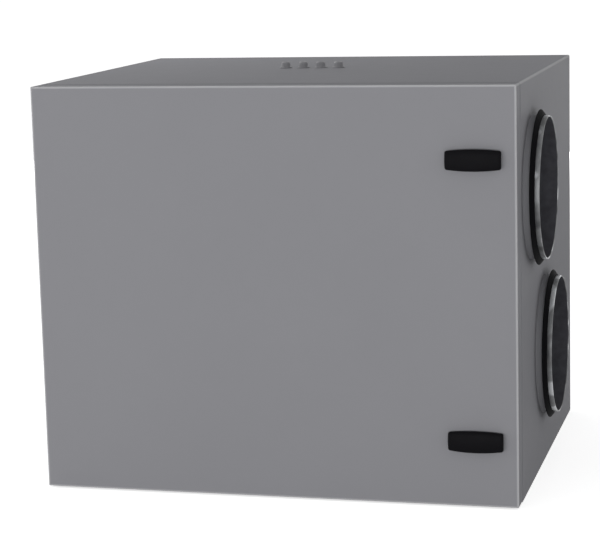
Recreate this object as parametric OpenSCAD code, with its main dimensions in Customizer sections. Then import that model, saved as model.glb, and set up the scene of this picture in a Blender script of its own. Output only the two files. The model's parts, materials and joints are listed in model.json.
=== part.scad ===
// Compact air handling unit: insulated casing with a hinged service door,
// four duct collars, a rotary heat exchanger, two fans and two filters.
// Origin at the middle of the underside, front towards -Y, Z up.

/* [Casing] */
// Overall width across the side panels
case_w = 850; // [790:5:1000]
// Overall depth with the door
case_d = 715; // [695:5:900]
// Overall height
case_h = 720; // [700:5:900]
// Thickness of the insulated panels
wall_t = 40; // [32:1:46]
// Bend radius along the outer edges
edge_r = 3; // [1:0.5:6]
// Step from the rear edge in to the back panel
back_inset = 2; // [1:0.5:6]

/* [Door] */
// Thickness of the door slab
door_t = 40; // [34:1:45]
// Space between the door and the front rim of the casing
door_gap = 5; // [5:0.5:6]
// Height of the door's lower edge above the underside
door_lift = 3; // [2:0.5:8]
// Depth of the liner behind the door slab
liner_t = 15; // [10:1:18]
// Space between the liner and the casing opening
liner_gap = 8; // [6:1:15]
// Width of the gasket strips
gasket_w = 14; // [10:1:20]
// Distance from the door edge in to the gasket
gasket_inset = 2; // [1:0.5:8]
// Free space between the gasket and the casing rim
gasket_gap = 0.3; // [0.2:0.05:0.5]

/* [Door latches] */
// Length of a latch grip
grip_w = 94; // [80:1:100]
// Height of a grip at its middle
grip_h = 36.5; // [32:0.5:44]
// Height of a grip at its ends
grip_end_h = 31; // [24:0.5:31]
// Thickness of a grip at its middle
grip_t = 15; // [12:1:20]
// Fall of the grip's face towards its ends
grip_crown = 5; // [2:0.5:6]
// Fall of the grip's face towards its long edges
grip_roll = 3; // [1:0.5:5]
// Space between a grip and the door face
grip_stand = 3; // [2:0.5:5]
// Distance from the door's free edge to the latch spindles
latch_in = 72; // [66:1:90]
// Distance from the top down to the upper latch spindle
latch_top = 124; // [110:1:160]
// Height of the lower latch spindle
latch_low = 118; // [110:1:160]
// Radius of a latch spindle
spindle_r = 6; // [5:0.5:8]
// Radius of the boss between a grip and the door
boss_r = 13; // [11:0.5:14]
// Reach of a latch cam from its spindle
cam_reach = 24; // [18:1:24]
// Half width of a latch cam
cam_r = 9; // [8:0.5:10]
// Thickness of a latch cam
cam_t = 5; // [4:0.5:6]
// Space between the door liner and a latch cam
cam_gap = 5; // [5:0.5:6]

/* [Door hinges] */
// Distance from the casing side out to the hinge pins
pivot_out = 8; // [8:0.5:10]
// Radius of the hinge knuckles
knuckle_r = 6; // [5.5:0.25:6]
// Radius of the hinge pins
hinge_pin_r = 3; // [2.5:0.25:4]
// Half the height of a hinge
hinge_half = 30; // [25:1:40]
// Length of a hinge leaf from the door seam
leaf_l = 32; // [24:1:34]
// Distance from the door seam to where a hinge leaf takes its full height
leaf_step = 9; // [9:0.5:12]
// Thickness of a hinge leaf
leaf_t = 2.5; // [2.5:0.25:3]
// Distance from the top down to the middle of the upper hinge
hinge_top = 66; // [50:1:70]
// Height of the middle of the lower hinge
hinge_low = 69; // [50:1:160]

/* [Duct collars] */
// Outside diameter of a duct collar
duct_d = 249; // [200:1:255]
// Wall thickness of a collar
collar_wall = 2.5; // [2:0.25:3]
// Length of a collar outside the casing
collar_len = 29; // [27:0.5:40]
// Width of the flange inside the casing
flange_w = 5; // [3:0.5:7]
// Thickness of the flange inside the casing
flange_t = 1.5; // [1:0.25:3]
// Depth of the groove that holds the seal
groove_d = 1.2; // [0.8:0.1:1.5]
// Distance from the casing to the start of the groove
groove_from = 11.5; // [10:0.5:12]
// Width of the groove
groove_w = 9; // [8.5:0.5:9]
// Height of the seal's lip above the collar
lip_h = 10.4; // [7:0.1:12]
// Thickness of the seal's lip at its tip
lip_t = 1.3; // [1:0.1:1.5]
// Thickness of the seal's lip at its root
lip_root = 3.8; // [2.5:0.1:4.5]
// Distance that the lip's tip leans back from the seal's outer edge
lip_lean = 7.6; // [6:0.1:8]
// Thickness of the seal's band above the collar
band_t = 1; // [0.6:0.1:1.5]
// Distance from the door face to the right upper collar, and from the back to the left one
upper_duct_in = 184; // [182:1:240]
// Distance from the top down to the upper collars
upper_duct_drop = 193; // [190:1:210]
// Distance from the door face to the right lower collar, and from the back to the left one
lower_duct_in = 331; // [300:1:420]
// Height of the lower collars
lower_duct_z = 220; // [195:1:225]

/* [Cable glands] */
// Distance between two glands
gland_pitch = 34; // [28:1:50]
// Offset of the gland row's middle from the casing's middle
gland_x = -22; // [-100:1:100]
// Distance from the door face back to the glands
gland_in = 410; // [200:5:500]
// Radius of a gland's foot
gland_r = 11.5; // [9:0.5:13]
// Height of a gland above the top
gland_h = 11.5; // [9:0.5:16]
// Height of a gland's foot at its rim
foot_h = 1.4; // [1:0.1:2]
// Step from the foot's rim in to the cap
cap_in = 2.8; // [2:0.1:3.5]
// Rounding radius on top of the cap
cap_round = 3.5; // [2:0.1:4]
// Radius of a gland's stem
stem_r = 8; // [6:0.5:8]
// Depth of a gland's stem in the top panel
stem_l = 10; // [6:1:20]

/* [Heat exchanger] */
// Diameter of the heat wheel
wheel_d = 480; // [400:5:490]
// Thickness of the heat wheel
wheel_t = 150; // [100:5:160]
// Space around the wheel in its cassette
wheel_gap = 4; // [3:0.5:6]
// Space beside the wheel to the cross bars
wheel_side = 3; // [3:0.5:6]
// Thickness of the cross bars
bar_t = 17; // [12:1:20]
// Height of the cross bars
bar_h = 34; // [30:1:50]
// Radius of the wheel's axle
axle_r = 12; // [8:0.5:14]
// Distance from the casing rim back to the cassette
cassette_in = 60; // [58:1:70]

/* [Inner parts] */
// Thickness of the partitions between the two air paths
part_t = 8; // [5:0.5:10]
// Distance from the casing rim back to the partitions
part_in = 20; // [20:1:30]
// Distance from the cassette to the filters
filter_off = 55; // [40:1:60]
// Thickness of a filter
filter_t = 96; // [48:1:100]
// Width of a filter's frame
filter_rim = 10; // [8:0.5:14]
// Distance between two pleats of the filter cloth
pleat = 22; // [18:1:30]
// Thickness of the filter cloth across a pleat
cloth_t = 4; // [3:0.5:6]
// Distance from the casing rim back to filters and fan plates
insert_in = 25; // [24:1:30]
// Sheet thickness of the filter rails
rail_t = 2; // [1.5:0.25:3]
// Height of the filter rails
rail_h = 14; // [10:1:20]
// Distance from the cassette to the fan plates
fan_off = 15; // [12:1:20]
// Sheet thickness of the fan plates
plate_t = 3; // [2:0.5:4]
// Radius of the air inlet in a fan plate
inlet_r = 72; // [60:1:75]
// Radius of the fan impellers
impeller_r = 105; // [95:1:112]
// Width of the fan impellers
impeller_w = 72; // [50:1:75]
// Space between a fan plate and its impeller
impeller_gap = 7; // [5:0.5:8]
// Thickness of the impeller's discs and blades
disc_t = 2.5; // [2:0.5:3]
// Thickness of the ring around a fan inlet
ring_t = 3; // [2:0.5:4]
// Length of the impeller's hub
hub_l = 25; // [18:1:30]
// Step from the motor's radius in to the hub
hub_in = 8; // [4:1:12]
// Number of impeller blades
blades = 7; // [5:1:9]
// Radius of the fan motors
motor_r = 46; // [40:1:55]
// Length of the fan motors
motor_l = 50; // [40:1:55]
// Radius of the rods that carry a fan motor
rod_r = 4; // [3:0.5:6]
// Distance of those rods from the fan axis, up and sideways
rod_out = 95; // [90:1:105]
// Width of the bars behind a fan motor
brace_w = 22; // [16:1:26]
// Width of the control box
box_w = 160; // [120:5:170]
// Height of the control box
box_h = 230; // [160:5:240]
// Depth of the control box
box_d = 40; // [30:1:42]
// Height of the control box above the partition
box_up = 30; // [25:1:40]
// Depth of the lid on the control box
lid_d = 12; // [8:1:15]
// Overhang of the lid over the control box
lid_over = 2; // [1:0.5:4]

/* [Fits] */
// Running clearance on a radius at hinge pins and spindles
run_gap = 0.05; // [0.03:0.01:0.08]
// Assembly clearance between fixed pieces
fit_gap = 0.2; // [0.1:0.05:0.3]

/* [Hidden] */
$fn = 96;
half_w = case_w / 2;
front_y = -case_d / 2;
back_y = case_d / 2;
door_back = front_y + door_t;
rim_y = door_back + door_gap;
liner_back = door_back + liner_t;
inner_w = half_w - wall_t;
inner_back = back_y - wall_t;
floor_z = wall_t;
ceil_z = case_h - wall_t;
back_face = back_y - back_inset;
duct_r = duct_d / 2;
bore_r = duct_r - collar_wall;
groove_to = groove_from + groove_w;
seal_r = duct_r - groove_d + fit_gap;
band_r = duct_r + band_t;
lip_r = duct_r + lip_h;
upper_y = front_y + upper_duct_in;
upper_z = case_h - upper_duct_drop;
lower_y = front_y + lower_duct_in;
lower_z = lower_duct_z;
latch_x = half_w - latch_in;
upper_latch_z = case_h - latch_top;
lower_latch_z = latch_low;
cam_y = liner_back + cam_gap;
pivot_x = -half_w - pivot_out;
pivot_y = door_back + door_gap / 2;
upper_hinge_z = case_h - hinge_top;
lower_hinge_z = hinge_low;
grip_fall = (grip_h - grip_end_h) / 2;
bulge_r = (grip_w * grip_w / 4 + grip_fall * grip_fall) / (2 * grip_fall);
crown_r = (grip_w * grip_w / 4 + grip_crown * grip_crown) / (2 * grip_crown);
roll_r = (grip_h * grip_h / 4 + grip_roll * grip_roll) / (2 * grip_roll);
gland_y = front_y + gland_in;
cap_r = gland_r - cap_in;
mid_z = (upper_z + lower_z) / 2;
shelf_top = mid_z + part_t / 2;
shelf_low = mid_z - part_t / 2;
cassette_y = rim_y + cassette_in;
wheel_y = (cassette_y + inner_back) / 2;
bar_x = wheel_t / 2 + wheel_side;
cassette_x = bar_x + bar_t;
insert_y = rim_y + insert_in;
filter_x = cassette_x + filter_off;
fan_x = cassette_x + fan_off;
fan_y = (insert_y + inner_back) / 2;
impeller_x = fan_x + plate_t + impeller_gap;
motor_x = impeller_x + impeller_w;
brace_x = motor_x + motor_l;
rod_x = fan_x + plate_t + fit_gap;
ring_gap = 3;
bend_r = impeller_r * 0.62;
bend_drop = impeller_r * 0.55;

// Extrusions of a drawing along one axis between two places
module along_x(a, b) {
    translate([a, 0, 0]) rotate([90, 0, 90]) linear_extrude(b - a) children();
}

module along_y(a, b) {
    translate([0, b, 0]) rotate([90, 0, 0]) linear_extrude(b - a) children();
}

module along_z(a, b) {
    translate([0, 0, a]) linear_extrude(b - a) children();
}

// Block between two corners
module block(a, b) {
    translate(a) cube(b - a);
}

// Corner piece that is taken off a square corner to round it
module corner_cut(x, y, sx, sy, r) {
    difference() {
        translate([min(x, x + sx * r), min(y, y + sy * r)]) square(r);
        translate([x + sx * r, y + sy * r]) circle(r);
    }
}

// Rectangle with four rounded corners
module rounded(a, b, r) {
    difference() {
        translate(a) square(b - a);
        corner_cut(a[0], a[1], 1, 1, r);
        corner_cut(b[0], a[1], -1, 1, r);
        corner_cut(b[0], b[1], -1, -1, r);
        corner_cut(a[0], b[1], 1, -1, r);
    }
}

// Front view of the casing ring, rounded outside and open inside
module ring_drawing() {
    difference() {
        rounded([-half_w, 0], [half_w, case_h], edge_r);
        translate([-inner_w, floor_z]) square([2 * inner_w, ceil_z - floor_z]);
    }
}

// Side panel on the right with two duct holes, which lie half a turn round where turn is -1
module side_slab(turn) {
    difference() {
        intersection() {
            along_y(rim_y, back_y) intersection() {
                ring_drawing();
                polygon([[half_w, 0], [half_w, case_h], [inner_w, ceil_z], [inner_w, floor_z]]);
            }
            along_z(0, case_h) rounded([-half_w, rim_y], [half_w, back_y], edge_r);
        }
        for (hole = [[upper_y, upper_z], [lower_y, lower_z]])
            translate([inner_w - 1, turn * hole[0], hole[1]]) rotate([0, 90, 0])
                cylinder(r = duct_r + fit_gap, h = wall_t + 2);
    }
}

module right_panel() {
    color("gray") side_slab(1);
}

module left_panel() {
    color("gray") mirror([1, 0, 0]) side_slab(-1);
}

module top_panel() {
    color("gray") difference() {
        intersection() {
            along_y(rim_y, back_y) intersection() {
                ring_drawing();
                polygon([[-half_w, case_h], [half_w, case_h], [inner_w, ceil_z], [-inner_w, ceil_z]]);
            }
            along_x(-half_w, half_w) rounded([rim_y, 0], [back_y, case_h], edge_r);
        }
        for (i = [0 : 3])
            translate([gland_x + (i - 1.5) * gland_pitch, gland_y, case_h - stem_l - fit_gap])
                cylinder(r = stem_r + fit_gap, h = stem_l + 1);
    }
}

module base_panel() {
    color("gray") intersection() {
        along_y(rim_y, back_y) intersection() {
            ring_drawing();
            polygon([[-half_w, 0], [half_w, 0], [inner_w, floor_z], [-inner_w, floor_z]]);
        }
        along_x(-half_w, half_w) rounded([rim_y, 0], [back_y, case_h], edge_r);
    }
}

module back_panel() {
    color("gray") block([-inner_w, inner_back, floor_z], [inner_w, back_face, ceil_z]);
}

// Spindle hole through the door at one latch
module spindle_hole(z) {
    translate([latch_x, liner_back + 1, z]) rotate([90, 0, 0])
        cylinder(r = spindle_r + run_gap, h = door_t + liner_t + 2);
}

module door_panel() {
    color("gray") difference() {
        intersection() {
            along_y(front_y, door_back) rounded([-half_w, door_lift], [half_w, case_h], edge_r);
            along_z(0, case_h) rounded([-half_w, front_y], [half_w, door_back], edge_r);
            along_x(-half_w, half_w) rounded([front_y, door_lift], [door_back, case_h], edge_r);
        }
        spindle_hole(upper_latch_z);
        spindle_hole(lower_latch_z);
    }
}

module door_liner() {
    color("lightgray") difference() {
        block([-inner_w + liner_gap, door_back, floor_z + liner_gap],
            [inner_w - liner_gap, liner_back, ceil_z - liner_gap]);
        spindle_hole(upper_latch_z);
        spindle_hole(lower_latch_z);
    }
}

// Four strips on the door's back, short of the casing rim
module door_gasket() {
    side_x = half_w - edge_r - gasket_inset;
    top_z = case_h - edge_r - gasket_inset;
    low_z = door_lift + edge_r + gasket_inset;
    seat_y = rim_y - gasket_gap;
    color("dimgray") {
        block([-side_x, door_back, low_z], [-side_x + gasket_w, seat_y, top_z]);
        block([side_x - gasket_w, door_back, low_z], [side_x, seat_y, top_z]);
        block([-side_x + gasket_w + fit_gap, door_back, top_z - gasket_w],
            [side_x - gasket_w - fit_gap, seat_y, top_z]);
        block([-side_x + gasket_w + fit_gap, door_back, low_z],
            [side_x - gasket_w - fit_gap, seat_y, low_z + gasket_w]);
    }
}

// Outline of a latch grip with bulging long edges
module grip_drawing() {
    intersection() {
        square([grip_w, grip_h], center = true);
        translate([0, bulge_r - grip_h / 2]) circle(bulge_r);
        translate([0, grip_h / 2 - bulge_r]) circle(bulge_r);
    }
}

// Latch grip with its boss and spindle, around the spindle line at the door face
module latch_grip() {
    face_y = -grip_stand - grip_t;
    intersection() {
        along_y(face_y, -grip_stand) grip_drawing();
        translate([0, face_y + crown_r, -grip_h]) cylinder(r = crown_r, h = 2 * grip_h, $fn = 360);
        translate([-grip_w, face_y + roll_r, 0]) rotate([0, 90, 0])
            cylinder(r = roll_r, h = 2 * grip_w, $fn = 180);
    }
    along_y(-grip_stand - 1, -fit_gap) circle(boss_r);
    along_y(-grip_stand - 1, cam_y - front_y) circle(spindle_r);
}

// Cam on the inner end of a spindle
module latch_cam() {
    along_y(cam_y, cam_y + cam_t) {
        circle(cam_r);
        translate([0, -cam_r]) square([cam_reach - cam_r, 2 * cam_r]);
        translate([cam_reach - cam_r, 0]) circle(cam_r);
    }
}

module upper_latch_grip() {
    color("black") translate([latch_x, front_y, upper_latch_z]) latch_grip();
}

module upper_latch_cam() {
    color("silver") translate([latch_x, 0, upper_latch_z]) latch_cam();
}

module lower_latch_grip() {
    color("black") translate([latch_x, front_y, lower_latch_z]) latch_grip();
}

module lower_latch_cam() {
    color("silver") translate([latch_x, 0, lower_latch_z]) latch_cam();
}

// Casing half of a hinge with its pin, around the middle of the hinge
module case_leaf(z) {
    block([-half_w - leaf_t, rim_y + leaf_step, z - hinge_half], [-half_w, rim_y + leaf_l, z + hinge_half]);
    block([-half_w - leaf_t, pivot_y, z - hinge_half], [-half_w, rim_y + leaf_step, z - fit_gap]);
    block([pivot_x, pivot_y - 1, z - hinge_half], [-half_w - leaf_t, pivot_y + knuckle_r, z - fit_gap]);
    translate([pivot_x, pivot_y, z - hinge_half]) cylinder(r = knuckle_r, h = hinge_half - fit_gap);
    translate([pivot_x, pivot_y, z - hinge_half]) cylinder(r = hinge_pin_r, h = 2 * hinge_half - 2);
}

// Door half of a hinge, around the middle of the hinge
module door_leaf(z) {
    difference() {
        union() {
            block([-half_w - leaf_t, door_back - leaf_l, z - hinge_half],
                [-half_w, door_back - leaf_step, z + hinge_half]);
            block([-half_w - leaf_t, door_back - leaf_step, z + fit_gap],
                [-half_w, pivot_y, z + hinge_half]);
            block([pivot_x, pivot_y - knuckle_r, z + fit_gap],
                [-half_w - leaf_t, pivot_y + 1, z + hinge_half]);
            translate([pivot_x, pivot_y, z + fit_gap])
                cylinder(r = knuckle_r, h = hinge_half - fit_gap);
        }
        translate([pivot_x, pivot_y, z - 1]) cylinder(r = hinge_pin_r + run_gap, h = hinge_half + 2);
    }
}

module upper_hinge_case_leaf() {
    color("silver") case_leaf(upper_hinge_z);
}

module upper_hinge_door_leaf() {
    color("silver") door_leaf(upper_hinge_z);
}

module lower_hinge_case_leaf() {
    color("silver") case_leaf(lower_hinge_z);
}

module lower_hinge_door_leaf() {
    color("silver") door_leaf(lower_hinge_z);
}

// Duct collar through a panel, outwards along Z from the panel's face
module collar() {
    rotate_extrude() polygon([
        [bore_r, -wall_t - flange_t], [duct_r + flange_w, -wall_t - flange_t],
        [duct_r + flange_w, -wall_t], [duct_r, -wall_t],
        [duct_r, groove_from], [duct_r - groove_d, groove_from],
        [duct_r - groove_d, groove_to], [duct_r, groove_to],
        [duct_r, collar_len], [bore_r, collar_len]]);
}

// Rubber seal in the collar's groove with one lip that leans back to the casing
module collar_seal() {
    z0 = groove_from + fit_gap;
    z1 = groove_to - fit_gap;
    rotate_extrude() polygon([
        [seal_r, z0], [band_r, z0], [band_r, z1 - lip_root],
        [lip_r, z1 - lip_lean], [lip_r, z1 - lip_lean + lip_t], [band_r, z1], [seal_r, z1]]);
}

// Places at the duct holes, outwards along Z
module upper_right() {
    translate([half_w, upper_y, upper_z]) rotate([0, 90, 0]) children();
}

module lower_right() {
    translate([half_w, lower_y, lower_z]) rotate([0, 90, 0]) children();
}

module upper_left() {
    rotate([0, 0, 180]) upper_right() children();
}

module lower_left() {
    rotate([0, 0, 180]) lower_right() children();
}

module right_upper_collar() {
    color("silver") upper_right() collar();
}

module right_lower_collar() {
    color("silver") lower_right() collar();
}

module left_upper_collar() {
    color("silver") upper_left() collar();
}

module left_lower_collar() {
    color("silver") lower_left() collar();
}

module right_upper_seal() {
    color("black") upper_right() collar_seal();
}

module right_lower_seal() {
    color("black") lower_right() collar_seal();
}

module left_upper_seal() {
    color("black") upper_left() collar_seal();
}

module left_lower_seal() {
    color("black") lower_left() collar_seal();
}

// Closed cable gland on the top panel
module gland(i) {
    color("dimgray") translate([gland_x + (i - 1.5) * gland_pitch, gland_y, case_h])
        rotate_extrude() polygon([
            [0, -stem_l], [stem_r, -stem_l], [stem_r, 0], [gland_r, 0], [gland_r, foot_h],
            [cap_r, 1.5 * foot_h],
            for (a = [0 : 30 : 90])
                [cap_r - cap_round * (1 - cos(a)), gland_h - cap_round * (1 - sin(a))],
            [0, gland_h]]);
}

module cable_gland_1() {
    gland(0);
}

module cable_gland_2() {
    gland(1);
}

module cable_gland_3() {
    gland(2);
}

module cable_gland_4() {
    gland(3);
}

// Block around the heat wheel with a cross bar on either side
module wheel_cassette() {
    color("silver") {
        difference() {
            block([-cassette_x, cassette_y, floor_z], [cassette_x, inner_back, ceil_z]);
            translate([-cassette_x - 1, wheel_y, mid_z]) rotate([0, 90, 0])
                cylinder(r = wheel_d / 2 + wheel_gap, h = 2 * cassette_x + 2, $fn = 180);
        }
        block([bar_x, cassette_y + 1, mid_z - bar_h / 2], [cassette_x, inner_back - 1, mid_z + bar_h / 2]);
        block([-cassette_x, cassette_y + 1, mid_z - bar_h / 2], [-bar_x, inner_back - 1, mid_z + bar_h / 2]);
    }
}

module heat_wheel() {
    color("lightgray") translate([-wheel_t / 2, wheel_y, mid_z]) rotate([0, 90, 0]) difference() {
        cylinder(r = wheel_d / 2, h = wheel_t, $fn = 180);
        translate([0, 0, -1]) cylinder(r = axle_r + run_gap, h = wheel_t + 2);
    }
}

module wheel_axle() {
    color("silver") translate([-bar_x, wheel_y, mid_z]) rotate([0, 90, 0])
        cylinder(r = axle_r, h = 2 * bar_x);
}

module right_partition() {
    color("silver") block([cassette_x, rim_y + part_in, shelf_low], [inner_w, inner_back, shelf_top]);
}

module left_partition() {
    color("silver") block([-inner_w, rim_y + part_in, shelf_low], [-cassette_x, inner_back, shelf_top]);
}

// Filter frame on the right between two heights
module filter_frame(low, high) {
    difference() {
        block([filter_x, insert_y, low + rail_t], [filter_x + filter_t, inner_back, high - rail_t - fit_gap]);
        block([filter_x - 1, insert_y + filter_rim, low + rail_t + filter_rim],
            [filter_x + filter_t + 1, inner_back - filter_rim, high - rail_t - fit_gap - filter_rim]);
    }
}

// Pleated cloth inside a filter frame on the right
module filter_cloth(low, high) {
    y0 = insert_y + filter_rim;
    span = inner_back - filter_rim - y0;
    count = floor(span / pleat);
    step = span / count;
    x0 = filter_x + cloth_t;
    x1 = filter_x + filter_t - 2 * cloth_t;
    folds = [for (i = [0 : 2 * count]) [i % 2 == 0 ? x0 : x1, y0 + i * step / 2]];
    back_folds = [for (i = [0 : 2 * count])
        [(i % 2 == 0 ? x0 : x1) + cloth_t, y0 + span - i * step / 2]];
    along_z(low + rail_t + filter_rim, high - rail_t - fit_gap - filter_rim)
        polygon(concat(folds, back_folds));
}

module extract_filter_frame() {
    color("white") mirror([1, 0, 0]) filter_frame(shelf_top, ceil_z);
}

module extract_filter_cloth() {
    color("white") mirror([1, 0, 0]) filter_cloth(shelf_top, ceil_z);
}

module supply_filter_frame() {
    color("white") filter_frame(floor_z, shelf_low);
}

module supply_filter_cloth() {
    color("white") filter_cloth(floor_z, shelf_low);
}

// Channel that a filter slides in, open upwards or downwards
module rail(z, up) {
    base_z = up ? z : z - rail_t;
    lip_z = up ? z : z - rail_h;
    x0 = filter_x - fit_gap;
    x1 = filter_x + filter_t + fit_gap;
    block([x0 - rail_t, insert_y, base_z], [x1 + rail_t, inner_back, base_z + rail_t]);
    block([x0 - rail_t, insert_y, lip_z], [x0, inner_back, lip_z + rail_h]);
    block([x1, insert_y, lip_z], [x1 + rail_t, inner_back, lip_z + rail_h]);
}

module filter_rails() {
    color("silver") {
        rail(floor_z, true);
        rail(shelf_low, false);
        mirror([1, 0, 0]) rail(shelf_top, true);
        mirror([1, 0, 0]) rail(ceil_z, false);
    }
}

// Fan plate with its inlet ring and the rods and bars that carry the motor
module fan_support(low, high) {
    fan_z = (low + high) / 2;
    difference() {
        union() {
            block([fan_x, insert_y, low], [fan_x + plate_t, inner_back, high]);
            translate([fan_x, fan_y, fan_z]) rotate([0, 90, 0])
                cylinder(r = inlet_r + ring_t, h = plate_t + impeller_gap + disc_t + 2);
        }
        translate([fan_x - 1, fan_y, fan_z]) rotate([0, 90, 0])
            cylinder(r = inlet_r, h = plate_t + impeller_gap + disc_t + 4);
    }
    for (sy = [-1, 1], sz = [-1, 1])
        translate([rod_x, fan_y + sy * rod_out, fan_z + sz * rod_out]) rotate([0, 90, 0])
            cylinder(r = rod_r, h = brace_x - fit_gap - rod_x);
    for (sz = [-1, 1])
        block([brace_x, fan_y - rod_out - rod_r, fan_z + sz * rod_out - rod_r],
            [brace_x + plate_t, fan_y + rod_out + rod_r, fan_z + sz * rod_out + rod_r]);
    block([brace_x, fan_y - brace_w, fan_z - rod_out - rod_r],
        [brace_x + plate_t, fan_y + brace_w, fan_z + rod_out + rod_r]);
}

// One backward curved blade seen along the fan axis
module blade_drawing() {
    intersection() {
        difference() {
            circle(impeller_r - 1);
            circle(inlet_r + ring_t + ring_gap + 1);
        }
        difference() {
            translate([inlet_r, -bend_drop]) circle(bend_r);
            translate([inlet_r, -bend_drop]) circle(bend_r - disc_t);
        }
        translate([0, -impeller_r / 2]) square(2 * impeller_r);
    }
}

module fan_impeller(low, high) {
    translate([impeller_x, fan_y, (low + high) / 2]) rotate([0, 90, 0]) {
        difference() {
            cylinder(r = impeller_r, h = disc_t);
            translate([0, 0, -1]) cylinder(r = inlet_r + ring_t + ring_gap, h = disc_t + 2);
        }
        translate([0, 0, impeller_w - disc_t]) cylinder(r = impeller_r, h = disc_t);
        translate([0, 0, impeller_w - 1 - hub_l]) cylinder(r = motor_r - hub_in, h = hub_l);
        for (i = [0 : blades - 1])
            rotate(i * 360 / blades) translate([0, 0, disc_t / 2])
                linear_extrude(impeller_w - disc_t) blade_drawing();
    }
}

module fan_motor(low, high) {
    translate([motor_x, fan_y, (low + high) / 2]) rotate([0, 90, 0]) cylinder(r = motor_r, h = motor_l);
}

module extract_fan_support() {
    color("silver") fan_support(shelf_top, ceil_z);
}

module extract_fan_impeller() {
    color("dimgray") fan_impeller(shelf_top, ceil_z);
}

module extract_fan_motor() {
    color("black") fan_motor(shelf_top, ceil_z);
}

module supply_fan_support() {
    color("silver") mirror([1, 0, 0]) fan_support(floor_z, shelf_low);
}

module supply_fan_impeller() {
    color("dimgray") mirror([1, 0, 0]) fan_impeller(floor_z, shelf_low);
}

module supply_fan_motor() {
    color("black") mirror([1, 0, 0]) fan_motor(floor_z, shelf_low);
}

// Box with an overhanging lid on the cassette's front, above the cross bar
module control_box() {
    low = shelf_top + box_up;
    lid_y = cassette_y - box_d + lid_d;
    color("gainsboro") {
        block([-box_w / 2, lid_y, low], [box_w / 2, cassette_y, low + box_h]);
        block([-box_w / 2 - lid_over, cassette_y - box_d, low - lid_over],
            [box_w / 2 + lid_over, lid_y, low + box_h + lid_over]);
    }
}

base_panel();
top_panel();
left_panel();
right_panel();
back_panel();
door_panel();
door_liner();
door_gasket();
upper_latch_grip();
upper_latch_cam();
lower_latch_grip();
lower_latch_cam();
upper_hinge_case_leaf();
upper_hinge_door_leaf();
lower_hinge_case_leaf();
lower_hinge_door_leaf();
right_upper_collar();
right_lower_collar();
left_upper_collar();
left_lower_collar();
right_upper_seal();
right_lower_seal();
left_upper_seal();
left_lower_seal();
cable_gland_1();
cable_gland_2();
cable_gland_3();
cable_gland_4();
wheel_cassette();
heat_wheel();
wheel_axle();
left_partition();
right_partition();
extract_filter_frame();
extract_filter_cloth();
supply_filter_frame();
supply_filter_cloth();
filter_rails();
extract_fan_support();
extract_fan_impeller();
extract_fan_motor();
supply_fan_support();
supply_fan_impeller();
supply_fan_motor();
control_box();
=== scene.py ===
"""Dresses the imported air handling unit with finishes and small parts, and sets up its studio picture."""

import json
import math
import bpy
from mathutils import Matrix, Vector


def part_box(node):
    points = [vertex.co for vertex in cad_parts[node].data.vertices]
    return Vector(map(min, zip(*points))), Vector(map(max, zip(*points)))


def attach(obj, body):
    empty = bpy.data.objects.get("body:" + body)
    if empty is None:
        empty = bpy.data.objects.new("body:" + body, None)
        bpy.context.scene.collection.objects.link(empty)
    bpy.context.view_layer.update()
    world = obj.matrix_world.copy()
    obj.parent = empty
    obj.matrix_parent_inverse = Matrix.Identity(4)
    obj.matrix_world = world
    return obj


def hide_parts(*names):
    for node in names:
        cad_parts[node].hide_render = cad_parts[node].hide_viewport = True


bl_info = {
    "name": "Air handling unit dressing",
    "version": (1, 0, 0),
    "blender": (4, 5, 0),
    "location": "3D View > Sidebar > Air unit",
    "description": "Finishes, fasteners and studio for a compact air handling unit",
    "category": "Object",
}

import bmesh
import bpy
from bpy.props import FloatProperty, FloatVectorProperty, IntProperty, PointerProperty
from mathutils import Matrix, Vector

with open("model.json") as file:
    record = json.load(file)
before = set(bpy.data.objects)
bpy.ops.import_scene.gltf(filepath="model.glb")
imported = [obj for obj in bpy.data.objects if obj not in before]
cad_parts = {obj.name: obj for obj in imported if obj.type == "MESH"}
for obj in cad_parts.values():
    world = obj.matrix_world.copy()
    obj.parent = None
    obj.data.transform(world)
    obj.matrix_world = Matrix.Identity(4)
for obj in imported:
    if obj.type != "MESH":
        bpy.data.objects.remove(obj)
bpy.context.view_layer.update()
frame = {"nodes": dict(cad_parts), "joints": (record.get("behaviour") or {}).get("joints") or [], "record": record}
NODES = frame["nodes"]
MOUNTS = {m["name"]: m for m in frame["record"]["mounts"]}
JOINTS = {j["name"]: j for j in frame["joints"]}
COLLARS = ("right_upper", "right_lower", "left_upper", "left_lower")
PANELS = ("base_panel", "top_panel", "left_panel", "right_panel", "back_panel")


# Sizes and colours

def length(name, text, value):
    """Length property in metres."""
    return FloatProperty(name=name, description=text, default=value, min=0.0, unit="LENGTH", precision=5)


def share(name, text, value):
    """Property between 0 and 1."""
    return FloatProperty(name=name, description=text, default=value, min=0.0, max=1.0, subtype="FACTOR")


def power(name, text, value):
    """Lamp power property."""
    return FloatProperty(name=name, description=text, default=value, min=0.0, unit="POWER")


def number(name, text, value, least, most):
    """Whole number property."""
    return IntProperty(name=name, description=text, default=value, min=least, max=most)


def tint(name, text, value):
    """Linear colour property."""
    return FloatVectorProperty(name=name, description=text, default=value, min=0.0, max=1.0, size=3,
                               subtype="COLOR")


class PaintLook(bpy.types.PropertyGroup):
    """Powder coat on the casing and the door."""

    grey: tint("Casing grey", "Colour of the powder coat", (0.249, 0.249, 0.265))
    # The edge colour is a painted highlight: a pale line along the folded edges that stands in for light caught on
    # their bends. The coat is not thinner there.
    edge: tint("Edge grey", "Colour of the coat where it is thin on the folded edges", (0.46, 0.46, 0.475))
    edge_w: length("Edge width", "Width of the pale line on the folded edges", 0.0042)
    roughness: share("Roughness", "Gloss of the powder coat", 0.60)
    shine: share("Shine", "Strength of the coat's reflection", 0.02)
    peel: length("Orange peel", "Depth of the coat's fine ripple", 0.00003)


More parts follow.
